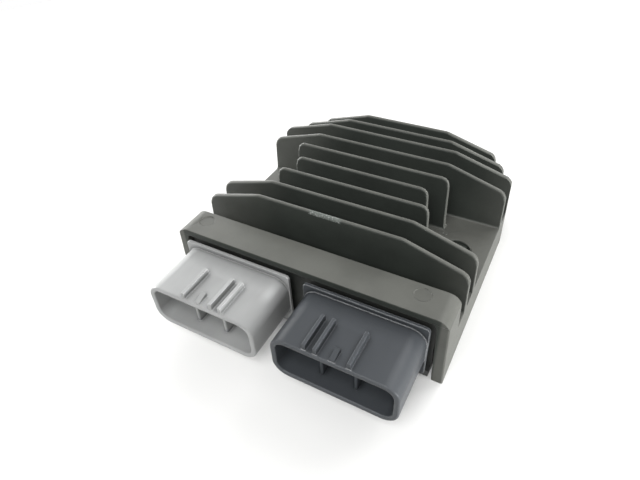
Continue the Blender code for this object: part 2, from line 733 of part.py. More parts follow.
def place_part(obj, material, collection, mount):
    """Give a finished part its material, collection and parent."""
    for other in list(obj.users_collection):
        other.objects.unlink(obj)
    collection.objects.link(obj)
    obj.data.name = obj.name
    obj.data.materials.clear()
    obj.data.materials.append(material)
    obj.data.shade_smooth()
    obj.data.set_sharp_from_angle(angle=math.radians(30.0))
    obj.parent = mount


def make_mount(collection):
    """The empty that brings the bottom centre of the unit's box to the origin."""
    mount = bpy.data.objects.new("regulator_rectifier", None)
    mount.location = (0.0, (SOCKET_REACH - REAR_Y) / 2.0, 0.0)
    collection.objects.link(mount)
    return mount


def main():
    clear_scene()
    collection = make_collection("voltage_regulator_rectifier")
    mount = make_mount(collection)
    casting_paint = make_material("casting_paint", (0.075, 0.078, 0.072), 0.6, 0.1)
    light_plastic = make_material("light_grey_plastic", (0.50, 0.51, 0.50), 0.45)
    dark_plastic = make_material("dark_slate_plastic", (0.075, 0.085, 0.10), 0.42)
    tinned_brass = make_material("tinned_brass", (0.62, 0.60, 0.55), 0.35, 1.0)
    board_mask = make_material("board_mask", (0.04, 0.09, 0.06), 0.5)
    device_case = make_material("device_case", (0.03, 0.03, 0.035), 0.5)
    ceramic = make_material("ceramic", (0.35, 0.22, 0.12), 0.5)
    resin_black = make_material("resin_black", (0.03, 0.03, 0.03), 0.35)

    place_part(make_casting(), casting_paint, collection, mount)
    sockets = (
        ("stator", STATOR_X, 1.0, light_plastic),
        ("output", OUTPUT_X, -1.0, dark_plastic),
    )
    for side, centre_x, key_side, plastic in sockets:
        socket = make_socket(f"{side}_socket", centre_x, key_side)
        place_part(socket, plastic, collection, mount)
        for way in range(WAY_COUNT):
            blade = make_terminal(f"{side}_terminal_{way + 1}", centre_x + way_offset(way))
            place_part(blade, tinned_brass, collection, mount)
    place_part(make_board(), board_mask, collection, mount)
    for name, place, size in component_list():
        place_part(hanging_box(name, place, size), device_case, collection, mount)
    for number, x in enumerate(CAPACITORS_X, 1):
        can = hanging_can(f"filter_capacitor_{number}", (x, REAR_ROW_Y))
        place_part(can, ceramic, collection, mount)
    place_part(make_resin(), resin_black, collection, mount)


if __name__ == "__main__":
    main()
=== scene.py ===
"""Finishes for a voltage regulator rectifier: coated casting, moulded sockets, blades and resin.

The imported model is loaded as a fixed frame. Everything here is in metres in that frame, with
+Z up, the sockets facing -Y and the underside at z = 0.
"""

import json
import math

import bmesh
import bpy
import numpy as np
from bpy.props import FloatProperty, FloatVectorProperty, PointerProperty
from mathutils import Matrix, Vector

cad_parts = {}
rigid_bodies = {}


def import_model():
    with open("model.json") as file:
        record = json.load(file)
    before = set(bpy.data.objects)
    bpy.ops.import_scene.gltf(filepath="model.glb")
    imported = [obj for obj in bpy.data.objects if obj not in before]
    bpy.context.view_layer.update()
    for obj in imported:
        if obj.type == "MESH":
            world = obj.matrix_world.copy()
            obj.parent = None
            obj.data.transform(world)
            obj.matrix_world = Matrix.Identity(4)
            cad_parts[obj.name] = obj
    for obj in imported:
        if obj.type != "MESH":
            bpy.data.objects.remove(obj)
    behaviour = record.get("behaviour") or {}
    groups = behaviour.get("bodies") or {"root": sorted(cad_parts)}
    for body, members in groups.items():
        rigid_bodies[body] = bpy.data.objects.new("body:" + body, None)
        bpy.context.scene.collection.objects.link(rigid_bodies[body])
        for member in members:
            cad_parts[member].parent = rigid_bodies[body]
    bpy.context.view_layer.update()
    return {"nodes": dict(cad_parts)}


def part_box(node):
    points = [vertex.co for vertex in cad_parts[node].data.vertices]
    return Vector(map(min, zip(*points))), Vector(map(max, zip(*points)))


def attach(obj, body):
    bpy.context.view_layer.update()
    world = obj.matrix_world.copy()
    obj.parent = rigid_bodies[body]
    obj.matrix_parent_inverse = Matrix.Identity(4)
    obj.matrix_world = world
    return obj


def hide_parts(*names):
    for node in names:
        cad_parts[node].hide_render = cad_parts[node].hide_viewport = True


bl_info = {
    "name": "Regulator Rectifier Finishes",
    "version": (1, 0, 0),
    "blender": (4, 5, 0),
    "location": "View3D > Sidebar > Regulator",
    "description": "Dresses a finned regulator rectifier and sets its studio stage",
    "category": "Object",
}

for startup_object in list(bpy.data.objects):
    bpy.data.objects.remove(startup_object, do_unlink=True)

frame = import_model()

# The casting's own box: its front is the shroud's face, and its top is the fins' tips
CASTING_LOW, CASTING_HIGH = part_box("heat_sink_casting")

# How close points are welded, how even a face has to be, and from what angle an edge is sharp
WELD_DISTANCE = 0.000002
FLAT_ANGLE = math.radians(0.6)
SHARP_ANGLE = math.radians(32.0)

# Faces across a rounded edge, and how strongly large faces win over small ones in the shading
EDGE_SEGMENTS = 3
LARGE_FACE_WEIGHT = 100

# Where the valleys between the fins begin, behind the shroud and above the plate
FINS_START_Y = -0.0210
PLATE_TOP_Z = 0.01465

# How far over the plate an edge counts as one of the fins' tips
TIP_RISE = 0.010

# Height under which an edge belongs to the underside's rim, which stays crisp
UNDERSIDE_Z = 0.0002

# Where the side walls turn inwards, how much they slant, and how far a fin's end reaches inwards
HALF_WIDTH = CASTING_HIGH.x
SHOULDER_Y = 0.0418
SHOULDER_REACH = 0.0036
SIDE_SLANT = 0.543
FIN_END = 0.007

# From the middle to the bolt holes' axes, and the radius of their recesses
HOLE_X = 0.0400
HOLE_Y = 0.0099
RECESS_RADIUS = 0.0056

# The shroud's front face, and half the width of its lip between the two legs
SHROUD_FRONT_Y = CASTING_LOW.y
LIP_HALF_WIDTH = 0.0484

# How squarely a face looks to the front or rear where the painted shade of the flanks and the lip sets
# in
FLANK_FACING = (0.5, 0.95)
LIP_FACING = (-0.4, -0.9)

# Where the painted shade on the fins' flanks sets in, at their front and at their foot
FIN_FRONT_FADE = (FINS_START_Y - 0.0005, FINS_START_Y)
FIN_FOOT_FADE = (PLATE_TOP_Z - 0.0010, PLATE_TOP_Z + 0.0010)

# Where that painted shade thins out towards the fins' two ends, and what share of it is left there
LEFT_END_FADE = (-0.046, -0.014)
LEFT_END_SHARE = 0.45
RIGHT_END_FADE = (0.054, 0.034)
RIGHT_END_SHARE = 0.60

# Where the painted shade sets in on the lip and in the recesses around the bolt holes
LIP_FRONT_FADE = (SHROUD_FRONT_Y + 0.0008, SHROUD_FRONT_Y + 0.0004)
LIP_SIDE_FADE = (LIP_HALF_WIDTH + 0.0006, LIP_HALF_WIDTH - 0.0006)
RECESS_SIDE_FADE = (RECESS_RADIUS + 0.0003, RECESS_RADIUS + 0.0001)
RECESS_TOP_FADE = (PLATE_TOP_Z - 0.0003, PLATE_TOP_Z - 0.0008)

# Middle of the scuff on the front fin's tip, and half its length, width and height
SCUFF_PLACE = (-0.0003, -0.0174, CASTING_HIGH.z)
SCUFF_REACH = (0.0066, 0.0011, 0.0013)

# How ragged its outline is and where it fades out, both as shares of those halves
SCUFF_RAGGEDNESS = 0.5
SCUFF_FADE = (1.25, 1.05)

# How far the edge tones (the casting's edge wear and painted highlight, the sockets' painted highlight)
# and the painted corner shade reach
EDGE_TONE_REACH = 0.0006
CREVICE_SHADE_REACH = 0.0025

# How far a roughness wavers to both sides, and how much lower it is on the sockets' edges
ROUGHNESS_WAVER = 0.06
EDGE_GLOSS = 0.12

# From the mouth, the sleeve's top and the flange: where the sockets' strong painted edge highlight turns
# faint
MOUTH_FADE = (0.0003, 0.0009)
SLEEVE_TOP_FADE = (0.0, 0.0002)
FLANGE_FADE = (-0.0004, -0.0012)

# Places before a rib's rear end and the shares of its height there, which round that end down
RIB_END_PLACES = (0.0006, 0.0003, 0.0001, 0.0)
RIB_END_HEIGHTS = (1.0, 0.96, 0.88, 0.70)

# Shares of the latch ramp's length: the last two make its steep catch
RAMP_STEPS = (0.0, 0.5, 0.97, 1.0)

# Share of a partition's thickness that its nose keeps
NOSE_SHARE = 0.3

# The floor lies a hair under the part, so that the two faces don't coincide; its rings and sides
FLOOR_Z = -0.0001
FLOOR_RINGS = 12
FLOOR_SIDES = 64

# The camera's sensor in millimetres, and how near it still sees
SENSOR_WIDTH_MM = 36.0
CLIP_START = 0.005

WHITE = (1.0, 1.0, 1.0, 1.0)

# Where each lamp stands, and the width of its square
LAMPS = {
    "back_left": ((-0.60, 0.55, 0.25), 0.50),
    "back_right": ((0.35, 0.70, 0.55), 0.70),
    "front": ((0.05, -0.55, 0.75), 0.60),
    "left": ((-0.80, 0.0, 0.08), 0.12),
    "right": ((0.80, 0.0, 0.08), 0.12),
}
LAMP_AIM = (0.0, 0.0, 0.015)


def length(name, description, default):
    """A length that a user can set."""
    return FloatProperty(
        name=name, description=description, subtype="DISTANCE", unit="LENGTH", min=0.0, default=default
    )


def fraction(name, description, default):
    """A value from 0 to 1 that a user can set."""
    return FloatProperty(
        name=name, description=description, subtype="FACTOR", min=0.0, max=1.0, default=default
    )


def tint(name, description, default):
    """A colour that a user can set."""
    return FloatVectorProperty(
        name=name, description=description, subtype="COLOR", size=3, min=0.0, max=1.0, default=default
    )


def power(name, description, default):
    """A lamp's power that a user can set."""
    return FloatProperty(name=name, description=description, unit="POWER", min=0.0, default=default)


class CastingSettings(bpy.types.PropertyGroup):
    """Sizes and colours of the coated casting."""

    coating: tint("Coating", "Colour of the coating on open faces", (0.098, 0.100, 0.090))
    # The flank tone is painted shade, laid between the fins, on the lip and in the bolt recesses
    painted_shade_tone: tint("Painted shade", "Colour between the fins and on the lip", (0.028, 0.032, 0.028))
    # The fins' edge tone lies between the open coating and the painted flank shade: partly edge wear,
    # partly painted highlight
    fin_edge_tone: tint("Fin edge tone", "Colour on the fins' edges, partly wear and partly painted highlight", (0.074, 0.083, 0.075))
    bare: tint("Bare metal", "Colour of the metal in the scuff's scratches", (0.30, 0.31, 0.30))
    edge_radius: length("Edge radius", "Rounding of the plate's and the shroud's edges", 0.00028)
    tip_radius: length("Fin tip radius", "Rounding of the fins' tips", 0.0007)
    grain_size: length("Grain", "Spacing of the coating's fine grain", 0.00035)
    roughness: fraction("Roughness", "Roughness of the coating", 0.52)
    specular: fraction("Shine", "Strength of the coating's reflections", 0.22)


class SocketSettings(bpy.types.PropertyGroup):
    """Sizes and colours of the two moulded sockets."""

    light: tint("Light plastic", "Colour of the stator socket", (0.345, 0.350, 0.348))
    # The edge colours are painted highlights, not colours of the plastic itself
    light_edge_highlight: tint("Light plastic's edges", "Colour painted on its edges as a highlight", (0.40, 0.40, 0.395))
    dark: tint("Dark plastic", "Colour of the output socket", (0.049, 0.054, 0.060))
    dark_edge_highlight: tint("Dark plastic's edges", "Colour painted on its edges as a highlight", (0.42, 0.43, 0.435))
    roughness: fraction("Roughness", "Roughness of the moulded plastic", 0.42)
    specular: fraction("Shine", "Strength of the plastic's reflections", 0.28)
    sleeve_length: length("Sleeve length", "From the flange's front to the mouth", 0.0220)
    sleeve_height: length("Sleeve height", "Height of the sleeve", 0.0177)
    sleeve_lift: length("Sleeve lift", "The sleeve's underside over the flange's lower edge", 0.0031)
    sleeve_corner: length("Sleeve corner", "Radius of the sleeve's four corners", 0.0055)
    wall: length("Wall", "Thickness of the sleeve's wall", 0.0019)
    cavity_depth: length("Cavity depth", "From the mouth to the socket's floor", 0.0202)
    flange_lip: length("Flange lip", "How far the flange stands out beside the sleeve", 0.0004)
    flange_thickness: length("Flange thickness", "Thickness of the flange", 0.0012)
    flange_corner: length("Flange corner", "Radius of the flange's four corners", 0.0015)
    flange_rise: length("Flange rise", "The flange's top over the sleeve's top", 0.0018)
    boss_inset: length("Boss inset", "How far the boss behind the flange is drawn in", 0.0030)
    rim_radius: length("Rim radius", "Rounding of the mouth's rim", 0.0006)
    edge_radius: length("Edge radius", "Rounding of the flange's and the ribs' edges", 0.00025)
    rib_width: length("Rib width", "Width of a guide rib", 0.0012)
    rib_height: length("Rib height", "Height of a guide rib", 0.0024)
    rib_length: length("Rib length", "Length of a guide rib from the mouth", 0.0136)
    latch_rib_x: length("Latch rib place", "From the middle to the ribs beside the latch", 0.0055)
    key_rib_x: length("Key rib place", "From the middle to the third rib", 0.0092)
    ramp_width: length("Ramp width", "Width of the latch ramp", 0.0019)
    ramp_length: length("Ramp length", "Length of the latch ramp", 0.0042)
    ramp_setback: length("Ramp setback", "From the mouth to the latch ramp", 0.0006)
    ramp_low: length("Ramp front height", "Height of the latch ramp at the mouth", 0.0005)
    ramp_high: length("Ramp rear height", "Height of the latch ramp at its catch", 0.0016)
    partition_x: length("Partition place", "From the middle to the walls between the ways", 0.0059)
    partition_width: length("Partition width", "Thickness of those walls", 0.0012)
    partition_setback: length("Partition setback", "From the mouth to those walls", 0.0044)


class InnerSettings(bpy.types.PropertyGroup):
    """Darker and lighter tones of the blades, the resin and the circuit in it."""

    tin_dark: tint("Tin, rubbed", "Darker tone of the blades' tin", (0.60, 0.59, 0.55))
    tin_light: tint("Tin, bright", "Lighter tone of the blades' tin", (0.80, 0.79, 0.75))
    resin_dark: tint("Resin, dark", "Darker tone of the potting resin", (0.026, 0.028, 0.026))
    resin_light: tint("Resin, light", "Lighter tone of the potting resin", (0.040, 0.042, 0.039))
    mask_dark: tint("Board, dark", "Darker tone of the board's mask", (0.02, 0.07, 0.04))
    mask_light: tint("Board, light", "Lighter tone of the board's mask", (0.03, 0.10, 0.06))
    case_dark: tint("Cases, dark", "Darker tone of the devices' cases", (0.02, 0.02, 0.022))
    case_light: tint("Cases, light", "Lighter tone of the devices' cases", (0.04, 0.04, 0.044))
    coat_dark: tint("Capacitors, dark", "Darker tone of the capacitors' coat", (0.36, 0.22, 0.11))
    coat_light: tint("Capacitors, light", "Lighter tone of the capacitors' coat", (0.46, 0.30, 0.16))


class StageSettings(bpy.types.PropertyGroup):
    """Camera, floor and lamps."""

    camera_place: FloatVectorProperty(
        name="Camera place", description="Where the camera stands",
        subtype="TRANSLATION", unit="LENGTH", size=3, default=(0.06513, -0.13186, 0.14281),
    )
    yaw: FloatProperty(
        name="Yaw", description="Turn of the camera around the vertical",
        subtype="ANGLE", unit="ROTATION", default=math.radians(30.755),
    )
    pitch: FloatProperty(
        name="Pitch", description="How far the camera looks down",
        subtype="ANGLE", unit="ROTATION", default=math.radians(41.524),
    )
    roll: FloatProperty(
        name="Roll", description="Tilt of the camera about its line of sight",
        subtype="ANGLE", unit="ROTATION", default=math.radians(-3.419),
    )
    focal_length: FloatProperty(
        name="Focal length", description="Focal length on a 36 mm wide sensor",
        subtype="DISTANCE_CAMERA", min=1.0, default=27.751,
    )
    floor: tint("Floor", "Colour of the floor", (0.73, 0.73, 0.72))
    floor_radius: length("Floor radius", "Radius of the round floor", 0.5)
    floor_lift: fraction("Floor lift", "Glow that only the camera and reflections see", 0.10)
    surround: fraction("Surround", "Strength of the even light from all sides", 0.18)
    back_left_power: power("Back left lamp", "Power of the lamp behind on the left", 5.1)
    back_right_power: power("Back right lamp", "Power of the lamp behind on the right", 6.9)
    front_power: power("Front lamp", "Power of the high lamp in front", 7.5)
    left_power: power("Left lamp", "Power of the low lamp on the left", 9.5)
    right_power: power("Right lamp", "Power of the low lamp on the right", 7.2)


def new_object(name, mesh):
    """An object in the scene that shows a mesh."""
    obj = bpy.data.objects.new(name, mesh)
    bpy.context.scene.collection.objects.link(obj)
    return obj


def even_shading(piece):
    """Let a piece's large faces look flat and its rounded edges smooth."""
    normals = piece.modifiers.new("Even shading", "WEIGHTED_NORMAL")
    normals.keep_sharp = True
    normals.weight = LARGE_FACE_WEIGHT


def merged_copy(node_name, piece_name):
    """A copy of a node's mesh, welded and with its flat faces made whole."""
    mesh = frame["nodes"][node_name].data.copy()
    mesh.name = piece_name
    cage = bmesh.new()
    cage.from_mesh(mesh)
    bmesh.ops.remove_doubles(cage, verts=cage.verts, dist=WELD_DISTANCE)
    bmesh.ops.dissolve_limit(cage, angle_limit=FLAT_ANGLE, verts=cage.verts, edges=cage.edges)
    cage.to_mesh(mesh)
    cage.free()
    mesh.shade_smooth()
    mesh.set_sharp_from_angle(angle=SHARP_ANGLE)
    piece = new_object(piece_name, mesh)
    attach(piece, "root")
    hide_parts(node_name)
    return piece


def round_edges(piece, radius, tip_radius):
    """Round the casting's sharp edges, with a radius of their own for the fins' tips.

    Each edge's bevel weight is its share of the larger radius. Away from the tips the radius stays
    within a third of an edge's length, so that small marks keep their shape. The edges at the
    slanted sides and around the underside stay crisp."""
    mesh = piece.data
    ends = np.empty(2 * len(mesh.edges), dtype=np.int32)
    mesh.edges.foreach_get("vertices", ends)
    points = np.empty(3 * len(mesh.vertices))
    mesh.vertices.foreach_get("co", points)
    points = points.reshape(-1, 3)[ends.reshape(-1, 2)]
    lengths = np.linalg.norm(points[:, 1] - points[:, 0], axis=1)
    sharp = np.zeros(len(mesh.edges), dtype=bool)
    mesh.attributes["sharp_edge"].data.foreach_get("value", sharp)
    middles = points.mean(axis=1)
    radii = np.where(on_fin_tips(middles), tip_radius, np.minimum(radius, lengths / 3.0))
    crisp = at_slanted_side(middles) | (middles[:, 2] < UNDERSIDE_Z)
    largest = max(radius, tip_radius)
    weights = np.where(sharp & ~crisp, radii / largest, 0.0)
    layer = mesh.attributes.new("bevel_weight_edge", "FLOAT", "EDGE")
    layer.data.foreach_set("value", weights)
    bevel = piece.modifiers.new("Rounded edges", "BEVEL")
    bevel.width = largest
    bevel.segments = EDGE_SEGMENTS
    bevel.limit_method = "WEIGHT"
    bevel.use_clamp_overlap = False
    even_shading(piece)


def at_slanted_side(points):
    """Whether points lie where the fins end at the slanted side walls, too tight to round.

    Behind the shoulder each side wall runs inwards by a fixed share of the way back."""
    across, back = np.abs(points[:, 0]), points[:, 1]
    wall = HALF_WIDTH - SIDE_SLANT * np.maximum(back - SHOULDER_Y, 0.0)
    return (back > SHOULDER_Y - SHOULDER_REACH) & (across > wall - FIN_END)


def on_fin_tips(points):
    """Whether points lie on the fins, well above the plate and behind the shroud."""
    return (points[:, 1] > FINS_START_Y) & (points[:, 2] > PLATE_TOP_Z + TIP_RISE)


def quarter_arc(start, corner, end, steps=4):
    """A quarter ellipse from start to end that heads for the corner: start + (corner - start) sin t
    + (end - corner) (1 - cos t), with t from 0 to a quarter turn."""
    start, corner, end = (np.array(point, dtype=float) for point in (start, corner, end))
    turn = np.linspace(0.0, np.pi / 2.0, steps + 1)[:, None]
    return start + (corner - start) * np.sin(turn) + (end - corner) * (1.0 - np.cos(turn))


def rounded_rectangle(left, right, low, high, corner, steps=8):
    """A rounded rectangle in the XZ plane: four quarter circles around the corners' centres."""
    turns = np.linspace(0.0, np.pi / 2.0, steps)
    angles = (np.arange(4)[:, None] * np.pi / 2.0 + turns).ravel()
    centre_x = np.repeat([right - corner, left + corner, left + corner, right - corner], steps)
    centre_z = np.repeat([high - corner, high - corner, low + corner, low + corner], steps)
    return np.stack([centre_x + corner * np.cos(angles), centre_z + corner * np.sin(angles)], axis=-1)


def loft(outlines, places):
    """Rings of points: each XZ outline stands at its own place along Y."""
    rings = np.stack(outlines)
    depth = np.broadcast_to(np.asarray(places)[:, None], rings.shape[:2])
    return np.stack([rings[..., 0], depth, rings[..., 1]], axis=-1)


def piece_from_lofts(name, lofts):
    """One object from closed lofts: quads between the rings, a flat cap on both ends, faces out."""
    mesh = bpy.data.meshes.new(name)
    points = []
    faces = []
    count = 0
    for rings in lofts:
        index = count + np.arange(rings[..., 0].size).reshape(rings.shape[:2])
        after = np.roll(index, -1, axis=1)
        quads = np.stack([index[:-1], after[:-1], after[1:], index[1:]], axis=-1).reshape(-1, 4)
        faces += quads.tolist() + [index[0, ::-1].tolist(), index[-1].tolist()]
        points.append(rings.reshape(-1, 3))
        count += index.size
    mesh.from_pydata(np.concatenate(points).tolist(), [], faces)
    cage = bmesh.new()
    cage.from_mesh(mesh)
    bmesh.ops.recalc_face_normals(cage, faces=cage.faces)
    cage.to_mesh(mesh)
    cage.free()
    mesh.shade_smooth()
    mesh.set_sharp_from_angle(angle=SHARP_ANGLE)
    piece = new_object(name, mesh)
    even_shading(piece)
    return piece


class SocketShape:
    """The parts of one socket as lofts, placed by its node's box."""

    def __init__(self, settings, node_name, key_side):
        low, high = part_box(node_name)
        self.settings = settings
        self.key_side = key_side
        self.middle = (low[0] + high[0]) / 2.0
        self.half_width = (high[0] - low[0]) / 2.0 - settings.flange_lip
        self.mouth = low[1]
        self.rear = high[1]
        self.flange_low = low[2]
        self.low = low[2] + settings.sleeve_lift
        self.top = self.low + settings.sleeve_height
        self.flange_top = self.top + settings.flange_rise

    def sleeve_outline(self, inset):
        """The sleeve's section, drawn in by an inset; its corners keep the same centres."""
        return rounded_rectangle(
            self.middle - self.half_width + inset,
            self.middle + self.half_width - inset,
            self.low + inset,
            self.top - inset,
            self.settings.sleeve_corner - inset,
        )

    def flange_outline(self, inset):
        """The flange's section, drawn in by an inset."""
        half_width = self.half_width + self.settings.flange_lip - inset
        return rounded_rectangle(
            self.middle - half_width,
            self.middle + half_width,
            self.flange_low + inset,
            self.flange_top - inset,
            self.settings.flange_corner - inset,
        )

    def body(self):
        """Boss, flange, sleeve and cavity as one closed skin, from the rear to the socket's floor.

        Each row is a section drawn in by an inset, at its place along Y; rounded edges are quarter
        ellipses in inset and Y. The fillet at the sleeve's foot takes a third of the flange's lip."""
        settings = self.settings
        edge = settings.edge_radius
        rim = settings.rim_radius
        foot = settings.flange_lip / 3.0
        flange_front = self.mouth + settings.sleeve_length
        flange_rear = flange_front + settings.flange_thickness
        floor = self.mouth + settings.cavity_depth
        inset = settings.boss_inset
        boss = [(inset, self.rear), (inset, flange_rear)]
        flange = np.concatenate([
            quarter_arc((edge, flange_rear), (0.0, flange_rear), (0.0, flange_rear - edge)),
            quarter_arc((0.0, flange_front + edge), (0.0, flange_front), (edge, flange_front)),
        ])
        wall = settings.wall
        sleeve = np.concatenate([
            quarter_arc((-foot, flange_front), (0.0, flange_front), (0.0, flange_front - foot)),
            quarter_arc((0.0, self.mouth + rim), (0.0, self.mouth), (rim, self.mouth)),
            quarter_arc((wall - rim, self.mouth), (wall, self.mouth), (wall, self.mouth + rim)),
            quarter_arc((wall, floor - rim), (wall, floor), (wall + rim, floor)),
        ])
        outlines = [self.sleeve_outline(inset) for inset, _ in boss]
        outlines += [self.flange_outline(inset) for inset, _ in flange]
        outlines += [self.sleeve_outline(inset) for inset, _ in sleeve]
        places = [place for _, place in boss] + flange[:, 1].tolist() + sleeve[:, 1].tolist()
        return loft(outlines, places)

    def ridge(self, centre, width, places, heights):
        """A bar along the top: rounded top edges, fillets at its foot, and a height for each place.

        The left half of the section runs up from under the skin; the right half mirrors it."""
        edge = self.settings.edge_radius
        half = width / 2.0
        foot = quarter_arc((-half - edge, 0.0), (-half, 0.0), (-half, edge), steps=3)
        head = quarter_arc((-half, -edge), (-half, 0.0), (edge - half, 0.0), steps=3)
        across = np.concatenate([[-half - edge], foot[:, 0], head[:, 0]])
        fixed = np.concatenate([[-self.settings.wall / 2.0], foot[:, 1], head[:, 1]])
        rising = np.concatenate([[0.0], np.zeros(len(foot)), np.ones(len(head))])
        across = np.concatenate([across, -across[::-1]])
        fixed = np.concatenate([fixed, fixed[::-1]])
        rising = np.concatenate([rising, rising[::-1]])
        levels = self.top + fixed + np.asarray(heights)[:, None] * rising
        outlines = np.stack([np.broadcast_to(centre + across, levels.shape), levels], axis=-1)
        return loft(list(outlines), places)

    def rib(self, offset):
        """A guide rib: full height from behind the rim, rounded down at its rear end."""
        settings = self.settings
        rear = settings.rib_length - np.array(RIB_END_PLACES)
        places = self.mouth + np.append(settings.rim_radius, rear)
        heights = settings.rib_height * np.append(1.0, RIB_END_HEIGHTS)
        return self.ridge(self.middle + offset, settings.rib_width, places, heights)

    def ramp(self):
        """The latch ramp: its height grows evenly from the mouth to the catch."""
        settings = self.settings
        steps = np.array(RAMP_STEPS)
        places = self.mouth + settings.ramp_setback + settings.ramp_length * steps
        heights = settings.ramp_low + (settings.ramp_high - settings.ramp_low) * steps
        heights[-1] -= settings.edge_radius / 2.0
        return self.ridge(self.middle, settings.ramp_width, places, heights)

    def partition(self, side):
        """A wall between two ways, with a rounded nose towards the mouth."""
        settings = self.settings
        bite = settings.wall / 2.0
        nose = quarter_arc((NOSE_SHARE, 0.0), (1.0, 0.0), (1.0, 1.0))
        half_widths = settings.partition_width / 2.0 * np.append(nose[:, 0], 1.0)
        front = self.mouth + settings.partition_setback
        floor = self.mouth + settings.cavity_depth
        places = np.append(front + settings.partition_width / 2.0 * nose[:, 1], floor)
        centre = self.middle + side * settings.partition_x
        across = centre + half_widths[:, None] * np.array([1.0, -1.0, -1.0, 1.0])
        high = self.top - bite
        low = self.low + bite
        levels = np.broadcast_to(np.array([high, high, low, low]), across.shape)
        return loft(list(np.stack([across, levels], axis=-1)), places)

    def lofts(self):
        """All parts of the socket."""
        settings = self.settings
        offsets = (-settings.latch_rib_x, settings.latch_rib_x, self.key_side * settings.key_rib_x)
        ribs = [self.rib(offset) for offset in offsets]
        return [self.body(), self.ramp(), self.partition(-1.0), self.partition(1.0)] + ribs


def set_material(piece, material):
    """Give a piece one material."""
    piece.data.materials.clear()
    piece.data.materials.append(material)


class Finish:
    """A material under construction, with one short call for each kind of node."""

    def __init__(self, name):
        self.material = bpy.data.materials.new(name)
        self.material.use_nodes = True
        self.tree = self.material.node_tree
        self.shader = self.tree.nodes["Principled BSDF"]
        coordinates = self.tree.nodes.new("ShaderNodeTexCoord")
        self.place = coordinates.outputs["Object"]
        self.normal = coordinates.outputs["Normal"]

    def feed(self, socket, value):
        """Link a socket to another one, or set its value."""
        if isinstance(value, bpy.types.NodeSocket):
            self.tree.links.new(value, socket)
        else:
            socket.default_value = value

    def noise(self, size, detail=2.0, roughness=0.5, stretch=(1.0, 1.0, 1.0)):
        """Cloudy noise whose features are about size metres, from 0 to 1."""
        mapping = self.tree.nodes.new("ShaderNodeMapping")
        self.feed(mapping.inputs["Vector"], self.place)
        mapping.inputs["Scale"].default_value = stretch
        node = self.tree.nodes.new("ShaderNodeTexNoise")
        self.feed(node.inputs["Vector"], mapping.outputs["Vector"])
        node.inputs["Scale"].default_value = 1.0 / size
        node.inputs["Detail"].default_value = detail
        node.inputs["Roughness"].default_value = roughness
        return node.outputs["Fac"]

    def span(self, value, low, high, start=0.0, end=1.0):
        """The value's share of the way from low to high, eased and set between start and end."""
        node = self.tree.nodes.new("ShaderNodeMapRange")
        node.interpolation_type = "SMOOTHSTEP"
        self.feed(node.inputs["Value"], value)
        node.inputs["From Min"].default_value = low
        node.inputs["From Max"].default_value = high
        node.inputs["To Min"].default_value = start
        node.inputs["To Max"].default_value = end
        return node.outputs["Result"]

    def around(self, pattern, value):
        """A value that wavers a little with a pattern."""
        least, most = value - ROUGHNESS_WAVER, value + ROUGHNESS_WAVER
        return self.span(pattern, low=0.2, high=0.8, start=least, end=most)

    def math(self, operation, first, second=0.0):
        """One arithmetic step."""
        node = self.tree.nodes.new("ShaderNodeMath")
        node.operation = operation
        self.feed(node.inputs[0], first)
        self.feed(node.inputs[1], second)
        return node.outputs["Value"]

    def mix(self, share, first, second):
        """A colour between two others."""
        node = self.tree.nodes.new("ShaderNodeMix")
        node.data_type = "RGBA"
        self.feed(node.inputs["Factor"], share)
        self.feed(node.inputs["A"], first)
        self.feed(node.inputs["B"], second)
        return node.outputs["Result"]

    def axis(self, name, vector=None):
        """The X, Y or Z part of a vector, or else of the place on the object in metres."""
        node = self.tree.nodes.new("ShaderNodeSeparateXYZ")
        self.feed(node.inputs["Vector"], vector or self.place)
        return node.outputs[name]

    def edge_share(self, radius):
        """1 close to an edge and 0 on flat faces, from how far a rounded normal turns away."""
        bevel = self.tree.nodes.new("ShaderNodeBevel")
        bevel.samples = 4
        bevel.inputs["Radius"].default_value = radius
        geometry = self.tree.nodes.new("ShaderNodeNewGeometry")
        turn = self.tree.nodes.new("ShaderNodeVectorMath")
        turn.operation = "DOT_PRODUCT"
        self.feed(turn.inputs[0], bevel.outputs["Normal"])
        self.feed(turn.inputs[1], geometry.outputs["True Normal"])
        return self.span(turn.outputs["Value"], low=0.995, high=0.80)

    def painted_crevice_shade(self, distance):
        """Painted shade: 1 deep in a corner and 0 on open faces, from how much of the near space is
        taken up.
        """
        node = self.tree.nodes.new("ShaderNodeAmbientOcclusion")
        node.samples = 6
        node.only_local = True
        node.inputs["Distance"].default_value = distance
        return self.span(node.outputs["AO"], low=0.92, high=0.50)

    def bump(self, height, depth, strength=1.0, under=None):
        """Surface relief of a depth in metres, laid over another relief."""
        node = self.tree.nodes.new("ShaderNodeBump")
        node.inputs["Strength"].default_value = strength
        node.inputs["Distance"].default_value = depth
        self.feed(node.inputs["Height"], height)
        if under is not None:
            self.feed(node.inputs["Normal"], under)
        return node.outputs["Normal"]

    def set(self, name, value):
        """Set or link one input of the shader."""
        self.feed(self.shader.inputs[name], value)


def beside(place, fade):
    """The two ends of a fade that is measured from a place."""
    return place + fade[0], place + fade[1]


def opaque(color):
    """A colour with full opacity."""
    return (*color, 1.0)


def shade(color, factor):
    """A colour made lighter or darker."""
    return opaque([min(1.0, channel * factor) for channel in color])


def painted_flank_shade(finish):
    """Painted shade: 1 on the fins' flanks, less towards their outer ends, and 0 on the casting's other
    faces.
    """
    facing = finish.math("ABSOLUTE", finish.axis("Y", finish.normal))
    facing = finish.span(facing, *FLANK_FACING)
    behind = finish.span(finish.axis("Y"), *FIN_FRONT_FADE)
    above = finish.span(finish.axis("Z"), *FIN_FOOT_FADE)
    left_end = finish.span(finish.axis("X"), *LEFT_END_FADE, start=LEFT_END_SHARE)
    right_end = finish.span(finish.axis("X"), *RIGHT_END_FADE, start=RIGHT_END_SHARE)
    share = finish.math("MULTIPLY", facing, behind)
    for part in (above, left_end, right_end):
        share = finish.math("MULTIPLY", share, part)
    return share


